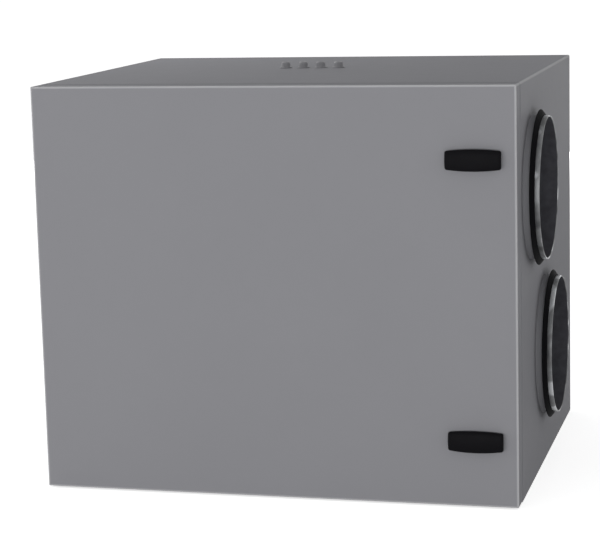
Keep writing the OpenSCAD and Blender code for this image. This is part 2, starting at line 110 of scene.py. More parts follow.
class TrimLook(bpy.types.PropertyGroup):
    """Rubber, plastic, cloth and card pieces."""

    rubber: tint("Seal rubber", "Colour of the lip seals", (0.0032, 0.0032, 0.0038))
    # The collar's dark inner colour is painted shade: a dark sheet inside the bore, where there is only shade.
    shade_lining: tint("Collar lining", "Colour of the dark lining inside a collar", (0.064, 0.064, 0.073))
    gasket: tint("Gasket rubber", "Colour of the door gasket and the edge strips", (0.070, 0.070, 0.074))
    grip: tint("Grip plastic", "Colour of the latch grips", (0.0050, 0.0048, 0.0058))
    gland: tint("Gland plastic", "Colour of the cable glands", (0.250, 0.250, 0.264))
    shine: share("Shine", "Strength of the reflection on black rubber and plastic", 0.035)
    housing: tint("Control box plastic", "Colour of the control box", (0.55, 0.56, 0.55))
    cloth: tint("Filter cloth", "Colour of the pleated filter cloth", (0.74, 0.75, 0.73))
    card: tint("Filter frame", "Colour of the filter frames", (0.60, 0.58, 0.52))


class MetalLook(bpy.types.PropertyGroup):
    """Metal pieces and the fans."""

    zinc: tint("Galvanised sheet", "Colour of the zinc coat", (0.50, 0.52, 0.54))
    collar: tint("Collar sheet", "Colour of the dulled zinc on the collars", (0.19, 0.195, 0.20))
    spangle: length("Spangle", "Size of the zinc crystals", 0.006)
    steel: tint("Plated steel", "Colour of hinges, cams and fasteners", (0.48, 0.48, 0.50))
    foil: tint("Wheel foil", "Colour of the heat wheel's foil", (0.66, 0.67, 0.68))
    motor: tint("Motor housing", "Colour of motors and impellers", (0.014, 0.014, 0.016))


class DetailSizes(bpy.types.PropertyGroup):
    """Sizes of the small parts."""

    hem: length("Collar hem", "Radius of the rolled edge of a collar", 0.0012)
    bead: length("Sealing bead", "Size of the bead between a collar and the casing", 0.0016)
    lip_round: length("Lip rounding", "Radius at the tip of a seal lip", 0.0007)
    grip_round: length("Grip rounding", "Radius along the edges of a grip", 0.0030)
    rivet_r: length("Rivet radius", "Radius of a blind rivet's head", 0.0040)
    rivet_h: length("Rivet height", "Height of a blind rivet's head", 0.0014)
    rivet_pitch: length("Rivet pitch", "Distance between two rivets", 0.105)
    screw_r: length("Screw radius", "Radius of a screw head", 0.0042)
    screw_h: length("Screw height", "Height of a screw head", 0.0016)
    spokes: number("Spokes", "Number of spokes on each face of the heat wheel", 8, 3, 24)
    lathe_steps: number("Turned steps", "Segments around a collar", 160, 24, 400)


class StageLook(bpy.types.PropertyGroup):
    """Studio light and camera."""

    ambient: FloatProperty(name="Ambient", description="Light from all round", default=0.45, min=0.0)
    key: power("Front light", "Power of the large light before the door", 116.0)
    side: power("Side light", "Power of the strip on the right", 4.4)
    fill: power("Fill light", "Power of the lights at the left and behind", 55.0)
    crown: power("Top light", "Power of the small light over the rear left", 4.4)
    glow: share("Floor glow", "Light that the floor shows on its own to the camera and to gloss", 0.67)
    place: FloatVectorProperty(name="Camera place", description="Where the camera stands", size=3,
                               default=(0.909, -3.6135, 0.986), subtype="TRANSLATION", unit="LENGTH")
    turn: FloatVectorProperty(name="Camera turn", description="Turn about the upright axis, tilt and roll",
                              default=tuple(math.radians(a) for a in (14.74, -9.72, 1.46)), size=3,
                              subtype="EULER")
    lens: FloatProperty(name="Lens", description="Focal length for a 36 mm wide sensor, in millimetres",
                        default=120.24, min=10.0)


# Mesh helpers

SAME_POINT = 1e-7
HEAD_SUNK = 0.0004
HEAD_STEPS = 24
NUT_STEPS = 48
ROUND_STEPS = 5
RIM_STEPS = 180


def turned(axis, origin):
    """Frame whose Z axis runs along the given direction from the origin."""
    turn = Vector((0, 0, 1)).rotation_difference(Vector(axis)).to_matrix().to_4x4()
    return Matrix.Translation(Vector(origin)) @ turn


def neighbours(items, closed):
    """Pairs of each item and the next one, and of the last and the first if closed."""
    return list(zip(items, items[1:] + items[:1] if closed else items[1:]))


def lathe(bm, profile, place, steps, material=0):
    """Revolves a profile of (radius, height) about the frame's Z axis.

    A radius may be a function of the angle. A profile that starts on the axis ends there too, and any
    other goes back to its first point.
    """
    rings = []
    for radius, height in profile:
        ring = []
        for k in range(1 if radius == 0.0 else steps):
            a = 2 * math.pi * k / steps
            r = radius(a) if callable(radius) else radius
            ring.append(bm.verts.new(place @ Vector((r * math.cos(a), r * math.sin(a), height))))
        rings.append(ring)
    for low, high in neighbours(rings, closed=len(rings[0]) > 1):
        for k in range(steps):
            n = (k + 1) % steps
            loop = (low[k % len(low)], low[n % len(low)], high[n % len(high)], high[k % len(high)])
            corners = list(dict.fromkeys(loop))
            if len(corners) > 2:
                bm.faces.new(corners).material_index = material


def loft(bm, sections, ring=False):
    """Joins closed loops of points into a skin, with flat ends unless the loops form a ring."""
    loops = [[bm.verts.new(p) for p in section] for section in sections]
    for low, high in neighbours(loops, closed=ring):
        for a, b in zip(neighbours(low, closed=True), neighbours(high, closed=True)):
            bm.faces.new((a[0], a[1], b[1], b[0]))
    if not ring:
        bm.faces.new(loops[0])
        bm.faces.new(loops[-1])


def bevelled_block(bm, low, high, round_r, segments=3):
    """Block between two corners with rounded edges."""
    low, high = Vector(low), Vector(high)
    place = Matrix.Translation((low + high) / 2) @ Matrix.Diagonal((*(high - low), 1))
    cube = bmesh.ops.create_cube(bm, size=1.0, matrix=place)
    edges = list(dict.fromkeys(e for v in cube["verts"] for e in v.link_edges))
    bmesh.ops.bevel(bm, geom=edges, offset=round_r, segments=segments, profile=0.5, affect="EDGES")


def moved(points, radius, height=0.0):
    """Profile points moved out by a radius and up by a height."""
    return [(radius + r, height + h) for r, h in points]


def shaped(points, radius, height):
    """Profile points given as shares of a radius and a height."""
    return [(radius * r, height * h) for r, h in points]


def arc(centre, radius, start, end, steps):
    """Points of (radius, height) along an arc, angles in degrees from the outward direction."""
    turns = [math.radians(start + (end - start) * k / steps) for k in range(steps + 1)]
    return [(centre[0] + radius * math.cos(a), centre[1] + radius * math.sin(a)) for a in turns]


def hexagon(across):
    """Radius function of a hexagon with the given width across flats."""
    return lambda a: across / 2 / math.cos((a + math.pi / 6) % (math.pi / 3) - math.pi / 6)


def turned_head(bm, place, radius, profile):
    """Head of a fastener, sunk a little into its seat."""
    seat = [(0.0, -HEAD_SUNK), (radius, -HEAD_SUNK)]
    lathe(bm, seat + profile, place, HEAD_STEPS)


def rivet(bm, place, radius, height):
    """Blind rivet with a domed head and the mandrel's dimple."""
    dome = [(1, 0.25), (0.86, 0.62), (0.62, 0.9), (0.40, 1)]
    dimple = [(0.34, 0.86), (0.28, 0.7), (0, 0.66)]
    turned_head(bm, place, radius, shaped(dome + dimple, radius, height))


def screw(bm, place, radius, height):
    """Pan head screw with a hexagon socket."""
    socket = hexagon(radius * 0.95)
    pan = shaped([(1, 0.35), (0.93, 0.75), (0.78, 1), (0.60, 1)], radius, height)
    recess = [(socket, height), (socket, height * 0.25), (0.0, height * 0.15)]
    turned_head(bm, place, radius, pan + recess)


def hex_nut(bm, place, across, height, stud_r, stud_h):
    """Hexagon nut with a stud end and a washer under it."""
    flat, corner_r, top = hexagon(across), across * 0.53, height + stud_h
    washer = shaped([(0, 0), (1, 0), (1, 0.2), (0.97, 0.25)], across * 0.72, height)
    nut = [(flat, height * 0.25), (flat, height * 0.9), (lambda a: min(flat(a), corner_r), height)]
    stud = [(stud_r, height), (stud_r, height + stud_h * 0.8), (stud_r * 0.8, top), (0.0, top)]
    lathe(bm, washer + nut + stud, place, NUT_STEPS)


def rivet_border(bm, sheet, inset, sizes):
    """Rivets along the four edges of an upright sheet, on its rear face."""
    low, high = sheet
    x0, x1, z0, z1 = low.x + inset, high.x - inset, low.z + inset, high.z - inset
    across, up = (max(2, round(span / sizes.rivet_pitch)) for span in (x1 - x0, z1 - z0))
    spots = [(x0 + (x1 - x0) * i / across, z) for i in range(across + 1) for z in (z0, z1)]
    spots += [(x, z0 + (z1 - z0) * j / up) for j in range(1, up) for x in (x0, x1)]
    for x, z in spots:
        rivet(bm, turned((0, 1, 0), (x, high.y, z)), sizes.rivet_r, sizes.rivet_h)


def piece(name, bm, body, materials, sharp=32.0):
    """Turns a finished mesh into a piece that rides on a body."""
    bmesh.ops.remove_doubles(bm, verts=bm.verts, dist=SAME_POINT)
    bmesh.ops.recalc_face_normals(bm, faces=bm.faces)
    mesh = bpy.data.meshes.new(name)
    bm.to_mesh(mesh)
    bm.free()
    mesh.shade_smooth()
    mesh.set_sharp_from_angle(angle=math.radians(sharp))
    for material in materials:
        mesh.materials.append(material)
    obj = bpy.data.objects.new(name, mesh)
    bpy.context.scene.collection.objects.link(obj)
    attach(obj, body)
    return obj


def dress(material, *nodes):
    """Gives CAD nodes a finish."""
    for name in nodes:
        for slot in NODES[name].material_slots:
            slot.material = material


# Materials

RINGS_PER_METRE = 3.18  # rings that the wave pattern draws in a metre at a scale of 1


def scaled(colour, factor):
    """Lighter or darker copy of a colour."""
    return tuple(min(1.0, c * factor) for c in colour)


class Finish:
    """One procedural material around a single Principled shader, or a world around its Background."""

    def __init__(self, name, shader="Principled BSDF", **sockets):
        kind = bpy.data.worlds if shader == "Background" else bpy.data.materials
        self.block = kind.new(name)
        self.block.use_nodes = True
        self.tree = self.block.node_tree
        self.shader = self.tree.nodes[shader]
        self.set(**sockets)

    def set(self, **sockets):
        """Feeds sockets of the shader, named with underscores for spaces."""
        for key, value in sockets.items():
            self.feed(self.shader.inputs[key.replace("_", " ")], value)

    def feed(self, socket, value):
        """Links a pattern to a socket, or sets the socket to a constant."""
        if hasattr(value, "is_output"):
            self.tree.links.new(value, socket)
        else:
            socket.default_value = (*value, 1.0) if socket.type == "RGBA" else value

    def node(self, kind, inputs=(), **settings):
        """Adds a node, feeds its inputs by name or number, and returns its outputs."""
        made = self.tree.nodes.new(kind)
        for key, value in settings.items():
            setattr(made, key, value)
        for key, value in dict(inputs).items():
            self.feed(made.inputs[key], value)
        return made.outputs

    @property
    def place(self):
        """The piece's own coordinates."""
        return self.node("ShaderNodeTexCoord")["Object"]

    def mapped(self, setting, value):
        """The piece's coordinates, moved by a Location or stretched by a Scale."""
        return self.node("ShaderNodeMapping", {"Vector": self.place, setting: value})["Vector"]

    def noise(self, scale, detail=3.0, rough=0.5, place=None):
        """Soft noise between 0 and 1."""
        inputs = {"Vector": place or self.place, "Scale": scale, "Detail": detail, "Roughness": rough}
        return self.node("ShaderNodeTexNoise", inputs)["Fac"]

    def cells(self, size):
        """Outputs of a pattern of cells of about the given size."""
        return self.node("ShaderNodeTexVoronoi", {"Vector": self.place, "Scale": 1.0 / size})

    def rings(self, pitch, centre):
        """Rings about an axle that runs along X through the centre."""
        inputs = {"Vector": self.mapped("Location", -centre), "Scale": 1.0 / pitch / RINGS_PER_METRE}
        return self.node("ShaderNodeTexWave", inputs, wave_type="RINGS", rings_direction="X")["Fac"]

    def spread(self, source, low=0.0, high=1.0, start=0.3, end=0.7):
        """Maps a pattern that runs from start to end to numbers between low and high."""
        inputs = {"Value": source, "From Min": start, "From Max": end, "To Min": low, "To Max": high}
        return self.node("ShaderNodeMapRange", inputs)["Result"]

    def blend(self, factor, first, second):
        """Mixes two colours, each a colour or a pattern."""
        # the mix node has its colours at inputs 6 and 7 and at output 2
        return self.node("ShaderNodeMix", {"Factor": factor, 6: first, 7: second}, data_type="RGBA")[2]

    def calc(self, operation, first, second=0.0):
        """Operation on two values, each a number or a pattern."""
        return self.node("ShaderNodeMath", {0: first, 1: second}, operation=operation)["Value"]

    def mottle(self, colour, amount, scale, detail=4.0):
        """Colour that varies a little from place to place."""
        pattern = self.spread(self.noise(scale, detail))
        return self.blend(pattern, scaled(colour, 1 - amount), scaled(colour, 1 + amount))

    def studio_rays(self):
        """1 for rays from the camera, from a gloss or through glass, 0 for light on a dull surface."""
        rays = self.node("ShaderNodeLightPath")
        total = rays["Is Camera Ray"]
        for name in ("Is Glossy Ray", "Is Transmission Ray"):
            total = self.calc("MAXIMUM", total, rays[name])
        return total

    def finished(self, colour, roughness, relief, depth, strength):
        """Feeds the shader with a colour, a roughness and a fine relief, and returns the material."""
        bump = self.node("ShaderNodeBump", {"Strength": strength, "Distance": depth, "Height": relief})
        self.set(Base_Color=colour, Roughness=roughness, Normal=bump["Normal"])
        return self.block

    def inside(self, low, high):
        """1 inside an upright box, 0 outside."""
        axes = self.node("ShaderNodeSeparateXYZ", {"Vector": self.place})
        total = 1.0
        for value, least, most in zip(axes, low, high):
            for operation, limit in (("GREATER_THAN", least), ("LESS_THAN", most)):
                total = self.calc("MULTIPLY", total, self.calc(operation, value, limit))
        return total

    def edges(self, low, high, width):
        """1 along the edges of an upright box, falling to 0 within the width."""
        axes = self.node("ShaderNodeSeparateXYZ", {"Vector": self.place})
        core = width * 0.35  # fully pale part of the width
        near = []
        for value, least, most in zip(axes, low, high):
            middle, half = (least + most) / 2, (most - least) / 2
            off = self.calc("ABSOLUTE", self.calc("SUBTRACT", value, middle))
            near.append(self.spread(off, start=half - width, end=half - core))
        total = 0.0
        for a, b in ((0, 1), (1, 2), (0, 2)):
            total = self.calc("MAXIMUM", total, self.calc("MULTIPLY", near[a], near[b]))
        return total


def spangled(look, metal, colour):
    """Zinc colour that changes a little from crystal to crystal."""
    return look.blend(look.cells(metal.spangle)["Color"], scaled(colour, 0.90), scaled(colour, 1.08))


def powder_coat(name, paint, edges=None, metal=None, inner=None):
    """Grey powder coat with a painted highlight along the folded edges, and bare zinc inside the inner box if
    there is one.
    """
    look = Finish(name, IOR=1.45, Specular_IOR_Level=paint.shine)
    colour = look.mottle(paint.grey, amount=0.008, scale=5.0, detail=5.0)
    if edges:
        # painted highlight: the folded edges of the box are coloured pale where light would catch their bends
        colour = look.blend(look.edges(*edges, paint.edge_w), colour, paint.edge)
    clouds = look.noise(26.0, detail=4.0)
    gloss = look.spread(clouds, paint.roughness - 0.02, paint.roughness + 0.02)
    if inner:
        bare = look.inside(*inner)
        colour = look.blend(bare, colour, spangled(look, metal, metal.zinc))
        gloss = look.calc("SUBTRACT", gloss, look.calc("MULTIPLY", bare, 0.10))
        look.set(Metallic=look.calc("MULTIPLY", bare, 0.85))
    ripple = look.noise(620.0, detail=2.0, rough=0.45)
    return look.finished(colour, gloss, ripple, depth=paint.peel, strength=0.4)


def zinc_sheet(look, colour, smooth, dull):
    """Ends a zinc finish with its fine grain and a roughness between two limits."""
    gloss = look.spread(look.noise(60.0, detail=4.0), smooth, dull)
    grain = look.noise(900.0, detail=2.0)
    return look.finished(colour, gloss, grain, depth=0.00004, strength=0.5)


def galvanised(name, metal):
    """Zinc coated sheet with a faint spangle and soft stains."""
    look = Finish(name, Metallic=0.88)
    stains = look.spread(look.noise(9.0), high=0.35)
    colour = look.blend(stains, spangled(look, metal, metal.zinc), scaled(metal.zinc, 0.52))
    return zinc_sheet(look, colour, smooth=0.46, dull=0.60)


def painted_reflection_zinc(name, metal):
    """Darkened zinc of the collar rims, with painted reflections: dark and pale spots from noise that stand in for
    a surrounding with dark and light parts.
    """
    look = Finish(name, Metallic=0.55)
    reflection_patches = look.noise(26.0, detail=1.0)
    # painted reflection: dark spots and pale glints stand in for what the metal would mirror
    dark = look.spread(reflection_patches, start=0.46, end=0.34)
    painted_glint = look.spread(reflection_patches, start=0.56, end=0.64)
    plain = look.blend(dark, spangled(look, metal, metal.collar), scaled(metal.collar, 0.42))
    colour = look.blend(painted_glint, plain, scaled(metal.collar, 2.8))
    return zinc_sheet(look, colour, smooth=0.46, dull=0.56)


def plated_steel(name, metal):
    """Zinc plated steel with fine drawn lines."""
    look = Finish(name, Metallic=0.92)
    drawn = look.noise(1.0, place=look.mapped("Scale", (900.0, 900.0, 60.0)))
    colour = look.mottle(metal.steel, amount=0.10, scale=120.0)
    return look.finished(colour, look.spread(drawn, 0.32, 0.48), drawn, depth=0.00003, strength=0.35)


def moulded(name, colour, roughness, grain, depth, mottle=0.08, shine=0.4):
    """Moulded rubber or plastic with a fine grain."""
    look = Finish(name, IOR=1.48, Specular_IOR_Level=shine)
    gloss = look.spread(look.noise(grain * 0.2), roughness - 0.05, roughness + 0.05)
    relief = look.noise(grain, detail=2.0, rough=0.6)
    return look.finished(look.mottle(colour, mottle, scale=70.0), gloss, relief, depth, strength=0.6)


def wheel_foil(name, metal, centre, pitch):
    """Rolled corrugated foil seen end on, as rings of tiny channels about the wheel's axle, with painted shade in
    the channels.
    """
    look = Finish(name, Metallic=0.75)
    layers = look.calc("MULTIPLY", look.rings(pitch, centre), 0.6)
    height = look.calc("ADD", layers, look.cells(pitch)["Distance"])
    # painted shade: the foil is darker down in the channels and keeps its full colour on the tops
    channel_shade_mask = look.spread(height, start=0.1, end=1.0)
    colour = look.blend(channel_shade_mask, scaled(metal.foil, 0.22), metal.foil)
    gloss = look.spread(look.noise(20.0), 0.35, 0.50)
    return look.finished(colour, gloss, height, depth=0.0006, strength=0.8)


def filter_cloth(name, trim):
    """Pleated synthetic fibre with a little dust on its folds."""
    look = Finish(name, Sheen_Weight=0.25)
    fibre = look.noise(1.0, detail=5.0, rough=0.65, place=look.mapped("Scale", (900.0, 900.0, 320.0)))
    dust = look.spread(look.noise(14.0, detail=5.0, rough=0.6), high=0.35, start=0.42, end=0.75)
    clean = look.mottle(trim.cloth, amount=0.05, scale=260.0)
    colour = look.blend(dust, clean, scaled(trim.cloth, 0.62))
    return look.finished(colour, 0.92, fibre, depth=0.0004, strength=0.7)


def pressed_card(name, trim):
    """Pressed fibre board of the filter frames."""
    look = Finish(name)
    fibre = look.noise(1.0, detail=5.0, rough=0.7, place=look.mapped("Scale", (500.0, 120.0, 500.0)))
    colour = look.blend(look.spread(fibre), scaled(trim.card, 0.9), scaled(trim.card, 1.06))
    return look.finished(colour, 0.85, fibre, depth=0.0002, strength=0.6)


# Pieces

class DressCasing(bpy.types.Operator):
    """Powder coats the casing panels and the door and rivets the back panel"""

    bl_idname = "air_unit.casing"
    bl_label = "Casing and door skin"

    def execute(self, context):
        scene = context.scene
        base, top, right, back = (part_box(f"{side}_panel") for side in ("base", "top", "right", "back"))
        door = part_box("door_panel")
        over = 0.0006  # how far the bare inside reaches into the panels' inner faces
        inner = ((-back[1].x - over, right[0].y + over, back[0].z - over),
                 (back[1].x + over, back[0].y + over, back[1].z + over))
        # the edges of this box get the painted highlight
        outer = ((door[0].x, door[0].y, base[0].z), (door[1].x, right[1].y, top[1].z))
        dress(powder_coat("casing_powder_coat", scene.air_paint, outer, scene.air_metal, inner), *PANELS)
        # the door's box for the same painted edge highlight
        door_outer = ((*outer[0][:2], door[0].z), outer[1])
        dress(powder_coat("door_powder_coat", scene.air_paint, door_outer), "door_panel")
        bm = bmesh.new()
        rivet_border(bm, back, inset=0.018, sizes=scene.air_detail)
        piece("back_panel_rivets", bm, "casing", [plated_steel("rivet_zinc", scene.air_metal)])
        return {"FINISHED"}


class DressCollars(bpy.types.Operator):
    """Makes the four duct collars with rolled hems and their lip seals"""

    bl_idname = "air_unit.collars"
    bl_label = "Duct collars and seals"

    def execute(self, context):
        scene = context.scene
        trim, sizes = scene.air_trim, scene.air_detail
        zinc = painted_reflection_zinc("collar_zinc", scene.air_metal)
        # painted shade: a dark sheet for the shaded inside of each collar's bore
        shade_lining = moulded("collar_lining", trim.shade_lining, roughness=0.62, grain=700.0, depth=0.00012,
                         mottle=0.15, shine=trim.shine)
        # painted reflection: the foot gets the casing's grey, which bare steel would show by mirroring the grey
        # panel
        foot = powder_coat("collar_foot_painted_reflection", scene.air_paint)
        rubber = moulded("seal_rubber", trim.rubber, roughness=0.75, grain=1400.0, depth=0.00005,
                         shine=trim.shine)
        for name in COLLARS:
            pin, bore = MOUNTS[f"{name}_duct"], MOUNTS[f"{name}_air_path"]
            side = 1 if name.startswith("right") else -1
            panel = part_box("right_panel" if side > 0 else "left_panel")
            face = panel[1].x if side > 0 else panel[0].x
            place = turned((side, 0, 0), (face, pin["pos_m"][1], pin["pos_m"][2]))
            self.collar(name, place, pin, bore, panel, sizes, (zinc, shade_lining, foot))
            self.seal(name, place, pin, sizes, rubber)
        return {"FINISHED"}

    def collar(self, name, place, pin, bore, panel, sizes, materials):
        """Tube with a rolled hem, a groove for the seal, a sealing bead and a flange behind the panel."""
        outer_r, bore_r = pin["dims"]["r_mm"] / 1000, bore["dims"]["r_mm"] / 1000
        node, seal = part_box(f"{name}_collar"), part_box(f"{name}_seal")
        flange_r = (node[1].z - node[0].z) / 2
        wall = panel[1].x - panel[0].x
        end = max(abs(node[0].x), abs(node[1].x)) - max(abs(panel[0].x), abs(panel[1].x))
        flange = node[1].x - node[0].x - wall - end
        groove, play, bead_sunk = 0.0012, 0.0004, 0.0001
        groove_edge = [(0.0, 0.0007), (-0.0004, 0.0), (-groove, -0.0002)]
        groove_foot = [(r, -h) for r, h in reversed(groove_edge)]
        seal_to = end - pin["dims"]["length_mm"] / 1000
        seal_from = seal_to - (seal[1].x - seal[0].x) - play
        hem = min(sizes.hem, (outer_r - bore_r) * 0.48)  # at most just under half the sheet
        bead_r = outer_r + sizes.bead
        profile = [(bore_r, -wall - flange), (bore_r, -wall * 0.5), (bore_r, end - hem)]
        profile += arc((bore_r + hem, end - hem), hem, 180, 90, ROUND_STEPS)
        profile += arc((outer_r - hem, end - hem), hem, 90, 0, ROUND_STEPS)
        profile += moved(groove_edge, outer_r, seal_to) + moved(groove_foot, outer_r, seal_from)
        profile += arc((bead_r, sizes.bead), sizes.bead, 180, 270, ROUND_STEPS)
        profile += [(bead_r, -bead_sunk), (outer_r, -bead_sunk), (outer_r, -wall)]
        profile += [(flange_r, -wall), (flange_r, -wall - flange)]
        bm = bmesh.new()
        lathe(bm, profile, place, sizes.lathe_steps)
        back = place.inverted()
        for face in bm.faces:
            middle = back @ face.calc_center_median()
            r = math.hypot(middle.x, middle.y)
            # the bore's faces get the dark sheet, which is painted shade
            if r < bore_r + hem / 2 and middle.z < end - hem:
                face.material_index = 1
            # the foot between the panel and the seal gets that grey as a painted reflection of the panel
            elif r > outer_r - groove / 2 and -wall < middle.z < seal_from:
                face.material_index = 2
        obj = piece(f"{name}_collar_sheet", bm, "casing", materials)
        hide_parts(f"{name}_collar")

    def seal(self, name, place, pin, sizes, rubber):
        """Rubber band in the groove with one lip that leans back from the collar's end."""
        outer_r = pin["dims"]["r_mm"] / 1000
        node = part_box(f"{name}_seal")
        lip_r = (node[1].z - node[0].z) / 2
        face = abs(place.translation.x)
        z0, z1 = sorted(abs(corner.x) - face for corner in node)
        half_band, lean, tip, tip_steps = 0.0010, 0.0076, sizes.lip_round, 6
        band, seat = outer_r + half_band, outer_r - half_band
        foot = [(-0.0004, 0.0), (0.0, 0.0004)]
        root = [(0.0, -0.0046), (0.0003, -0.0040)]
        slope = [(0.0045, -0.0028), (0.0012, -0.0006), (0.0, -0.0001), (-0.0006, 0.0)]
        profile = [(seat, z0)] + moved(foot, band, z0) + moved(root, band, z1)
        profile += arc((lip_r - tip, z1 - lean + tip), tip, -120, 50, tip_steps)
        profile += moved(slope, band, z1) + [(seat, z1)]
        bm = bmesh.new()
        lathe(bm, profile, place, sizes.lathe_steps)
        obj = piece(f"{name}_lip_seal", bm, "casing", [rubber])
        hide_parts(f"{name}_seal")


class DressLatches(bpy.types.Operator):
    """Makes the barrel shaped latch grips, their spindles and the bolts that hold the cams"""

    bl_idname = "air_unit.latches"
    bl_label = "Door latches"

    def execute(self, context):
        scene = context.scene
        trim = scene.air_trim
        plastic = moulded("grip_plastic", trim.grip, roughness=0.50, grain=1500.0, depth=0.00006,
                          shine=trim.shine)
        steel = plated_steel("cam_zinc", scene.air_metal)
        for level in ("upper", "lower"):
            axis = JOINTS[f"{level}_latch_turn"]["pos_m"]
            self.grip(level, axis, scene.air_detail.grip_round, (plastic, steel))
            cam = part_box(f"{level}_latch_cam")
            dress(steel, f"{level}_latch_cam")
            bm = bmesh.new()
            place = turned((0, 1, 0), (axis[0], cam[1].y, axis[2]))
            hex_nut(bm, place, across=0.010, height=0.0050, stud_r=0.003, stud_h=0.0012)
            piece(f"{level}_latch_bolt", bm, f"{level}_latch", [steel])
        return {"FINISHED"}

    def grip(self, level, axis, end_r, materials):
        """Barrel with rounded ends on a rose, and the spindle that runs through the door."""
        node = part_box(f"{level}_latch_grip")
        half_w, half_h = (node[1].x - node[0].x) / 2, (node[1].z - node[0].z) / 2
        cx, cz = axis[0], axis[2]
        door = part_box("door_panel")[0].y
        standoff = 0.003
        back = door - standoff
        deep = back - node[0].y
        # how much lower the ends are, how far they lie back, and how far the long edges roll back
        fall, crown, roll = 0.00275, 0.0045, 0.0026
        sides, squareness = 48, 0.30

        def squared(wave):
            return math.copysign(abs(wave) ** squareness, wave)

        def section(x, shrink):
            t = x / half_w
            h = half_h - fall * t * t - shrink
            front, rear = deep - crown * t * t - shrink, shrink * 0.6
            loop = []
            for k in range(sides):
                a = 2 * math.pi * k / sides
                z = h * squared(math.cos(a))
                y = (front + rear) / 2 + (front - rear) / 2 * squared(math.sin(a))
                y -= roll * (z / h) ** 2 * max(0.0, y / front)
                loop.append((cx + x, back - y, cz + z))
            return loop

        straight, cuts = half_w - end_r, 20
        turns = [math.radians(a) for a in (15, 35, 55, 72, 85)]
        ends = [(straight + end_r * math.sin(a), end_r * (1 - math.cos(a))) for a in turns]
        stations = [(-x, shrink) for x, shrink in reversed(ends)]
        stations += [((-1 + 2 * k / cuts) * straight, 0.0) for k in range(cuts + 1)] + ends
        bm = bmesh.new()
        loft(bm, [section(x, shrink) for x, shrink in stations])
        rose = [(0.0, 0.0), (0.0130, 0.0), (0.0130, 0.0026), (0.0122, 0.0032), (0.0, 0.0032)]
        rose_gap, rose_steps = 0.0002, 40
        lathe(bm, rose, turned((0, -1, 0), (cx, door - rose_gap, cz)), rose_steps)
        rod_r, rod, rod_steps = 0.006, node[1].y - door, 32
        spindle = [(0.0, 0.0), (rod_r, 0.0), (rod_r, rod), (0.0, rod)]
        lathe(bm, spindle, turned((0, 1, 0), (cx, door, cz)), rod_steps, material=1)
        obj = piece(f"{level}_latch_barrel", bm, f"{level}_latch", materials, sharp=40.0)
        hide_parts(f"{level}_latch_grip")


class DressHinges(bpy.types.Operator):
    """Finishes the hinges and adds their screws"""

    bl_idname = "air_unit.hinges"
    bl_label = "Door hinges"

    def execute(self, context):
        scene = context.scene
        sizes = scene.air_detail
        steel = plated_steel("hinge_zinc", scene.air_metal)
        screw_in, screw_up, leaf = 0.009, 0.019, 0.0025
        for part, body in (("case", "casing"), ("door", "door")):
            bm = bmesh.new()
            for level in ("upper", "lower"):
                node = f"{level}_hinge_{part}_leaf"
                low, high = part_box(node)
                dress(steel, node)
                y = high.y - screw_in if part == "case" else low.y + screw_in
                middle = (low.z + high.z) / 2
                for dz in (-screw_up, screw_up):
                    place = turned((-1, 0, 0), (high.x - leaf, y, middle + dz))
                    screw(bm, place, sizes.screw_r, sizes.screw_h)
            piece(f"hinge_screws_{part}", bm, body, [steel])
        return {"FINISHED"}


class DressGlands(bpy.types.Operator):
    """Makes the closed cable glands on the top"""

    bl_idname = "air_unit.glands"
    bl_label = "Cable glands"

    def execute(self, context):
        plastic = moulded("gland_plastic", context.scene.air_trim.gland, roughness=0.55, grain=1300.0,
                          depth=0.00008)
        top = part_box("top_panel")[1].z
        ribs, rib_d, stem_r, steps = 18, 0.0004, 0.0080, 72
        flange = [(-0.0003, 0.0), (0.0, 0.0003), (0.0, 0.0011), (-0.0004, 0.0017), (-0.0012, 0.0020),
                  (-0.0028, 0.0022)]
        body_foot, body_top, dip = (-0.0028, 0.0026), (-0.0030, -0.0034), 0.0006
        dome = [(-0.0032, -0.0030), (-0.0035, -0.0019), (-0.0042, -0.0009), (-0.0055, -0.0002),
                (-0.0066, 0.0)]
        membrane = [(-0.0072, -0.0003), (-0.0077, -0.0012), (-0.0086, -0.0015), (-0.0100, -0.0009)]

        def ribbed(radius):
            return lambda a: radius - rib_d * (0.5 - 0.5 * math.cos(ribs * a)) ** 2

        for n in range(1, 5):
            low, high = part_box(f"cable_gland_{n}")
            r, h, stem = (high.x - low.x) / 2, high.z - top, low.z - top
            place = turned((0, 0, 1), ((low.x + high.x) / 2, (low.y + high.y) / 2, top))
            profile = [(0.0, stem), (stem_r, stem), (stem_r, 0.0)] + moved(flange, r)
            body = moved([body_foot], r) + moved([body_top], r, h)
            profile += [(ribbed(radius), height) for radius, height in body]
            profile += moved(dome + membrane, r, h) + [(0.0, h - dip)]
            bm = bmesh.new()
            lathe(bm, profile, place, steps)
            obj = piece(f"cable_gland_{n}_body", bm, "casing", [plastic])
            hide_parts(f"cable_gland_{n}")
        return {"FINISHED"}


